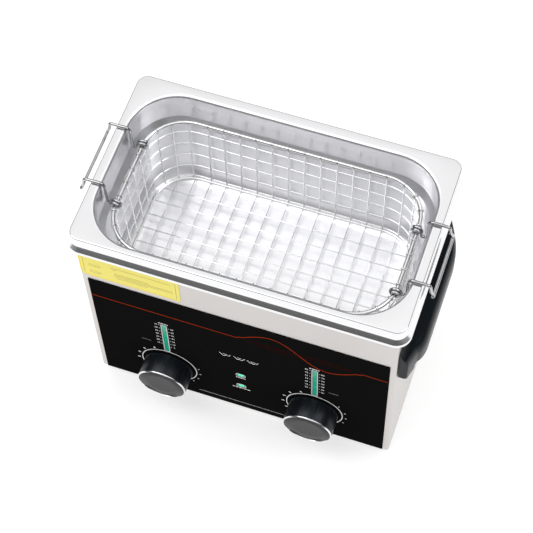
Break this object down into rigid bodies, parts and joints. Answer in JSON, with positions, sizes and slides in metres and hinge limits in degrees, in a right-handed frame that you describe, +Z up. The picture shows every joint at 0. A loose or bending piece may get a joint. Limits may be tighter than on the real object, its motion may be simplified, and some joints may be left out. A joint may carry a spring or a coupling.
{
  "type": "ultrasonic cleaner",
  "caption": "Bench-top ultrasonic cleaner: a steel tank in a boxy steel casing with a lift-out wire basket, swing bails, a side handle, and timer and temperature knobs on a black front panel.",
  "frame": {"origin": "centre of the bounding box at table height, under the feet", "axes": "+X along the long side to the operator's right, +Y to the rear, +Z up"},
  "size_m": [0.2804, 0.174, 0.2228],
  "materials": {
    "tank_steel": "satin",
    "casing_steel": "brushed",
    "wire_steel": "polished",
    "panel_film": "satin printed film",
    "label": "coated label",
    "lens_green": "clear lens",
    "black_gloss": "gloss",
    "knob_face": "spun, dark anodised",
    "black_plastic": "moulded",
    "rubber": "matte",
    "brass": "turned",
    "aluminium": "machined",
    "ceramic": "fired",
    "ferrite": "matte ferrite",
    "circuit_board": "solder mask",
    "silicone": "moulded silicone"
  },
  "bodies": {
    "housing": {"tank": "tank_steel", "rim_gasket": "rubber", "casing_wrap": "casing_steel", "rear_panel": "casing_steel", "bottom_plate": "casing_steel", "foot_front_left": "rubber", "foot_front_right": "rubber", "foot_rear_left": "rubber", "foot_rear_right": "rubber", "front_overlay": "panel_film", "notice_label": "label", "timer_window": "lens_green", "temp_window": "lens_green", "power_led": "lens_green", "ultrasonic_led": "lens_green", "display_board": "circuit_board", "timer_control": "aluminium", "timer_nut": "brass", "temp_control": "aluminium", "temp_nut": "brass", "right_handle": "black_gloss", "heater_pad_front": "silicone", "heater_pad_rear": "silicone", "temp_sensor": "aluminium", "generator_board": "circuit_board", "heatsink": "aluminium", "output_choke": "silicone", "smoothing_capacitor": "black_plastic", "matching_transformer": "ferrite", "fan_frame": "black_plastic", "power_inlet": "black_plastic", "switch_housing": "black_plastic", "left_transducer_front_mass": "aluminium", "left_transducer_piezo_stack": "ceramic", "left_transducer_back_mass": "tank_steel", "left_transducer_bolt": "tank_steel", "right_transducer_front_mass": "aluminium", "right_transducer_piezo_stack": "ceramic", "right_transducer_back_mass": "tank_steel", "right_transducer_bolt": "tank_steel"},
    "basket": {"basket_rim": "wire_steel", "basket_front_mesh": "wire_steel", "basket_back_mesh": "wire_steel", "basket_left_front_mesh": "wire_steel", "basket_left_back_mesh": "wire_steel", "basket_right_front_mesh": "wire_steel", "basket_right_back_mesh": "wire_steel", "basket_floor": "wire_steel"},
    "left_bail": {"bail_left": "wire_steel"},
    "right_bail": {"bail_right": "wire_steel"},
    "timer_dial": {"timer_knob": "black_gloss", "timer_knob_cap": "knob_face", "timer_spindle": "brass"},
    "temp_dial": {"temp_knob": "black_gloss", "temp_knob_cap": "knob_face", "temp_spindle": "brass"},
    "rocker": {"power_rocker": "black_gloss"},
    "fan": {"fan_rotor": "black_plastic"},
    "fuse_carrier": {"fuse_drawer": "black_plastic", "fuse": "ceramic"}
  },
  "joints": [
    {"name": "basket_lift", "type": "slide", "parent": "housing", "child": "basket", "axis": [0, 0, 1], "range_m": [0, 0.12]},
    {"name": "left_bail_swing", "type": "hinge", "parent": "basket", "child": "left_bail", "pos_m": [-0.1105, 0.007, 0.2], "axis": [0, 1, 0], "range_deg": [0, 160]},
    {"name": "right_bail_swing", "type": "hinge", "parent": "basket", "child": "right_bail", "pos_m": [0.1101, 0.007, 0.2], "axis": [0, -1, 0], "range_deg": [0, 160]},
    {"name": "timer_turn", "type": "hinge", "parent": "housing", "child": "timer_dial", "pos_m": [-0.062, -0.0669, 0.045], "axis": [0, 1, 0], "range_deg": [0, 300]},
    {"name": "temp_turn", "type": "hinge", "parent": "housing", "child": "temp_dial", "pos_m": [0.062, -0.0669, 0.045], "axis": [0, 1, 0], "range_deg": [0, 300]},
    {"name": "power_rocker_tip", "type": "hinge", "parent": "housing", "child": "rocker", "pos_m": [0.078, 0.0789, 0.092], "axis": [0, 0, 1], "range_deg": [0, 16]},
    {"name": "fan_spin", "type": "hinge", "parent": "housing", "child": "fan", "pos_m": [-0.074, 0.0796, 0.062], "axis": [0, 1, 0], "continuous": true},
    {"name": "fuse_drawer_slide", "type": "slide", "parent": "housing", "child": "fuse_carrier", "axis": [0, 1, 0], "range_m": [0, 0.018]}
  ]
}
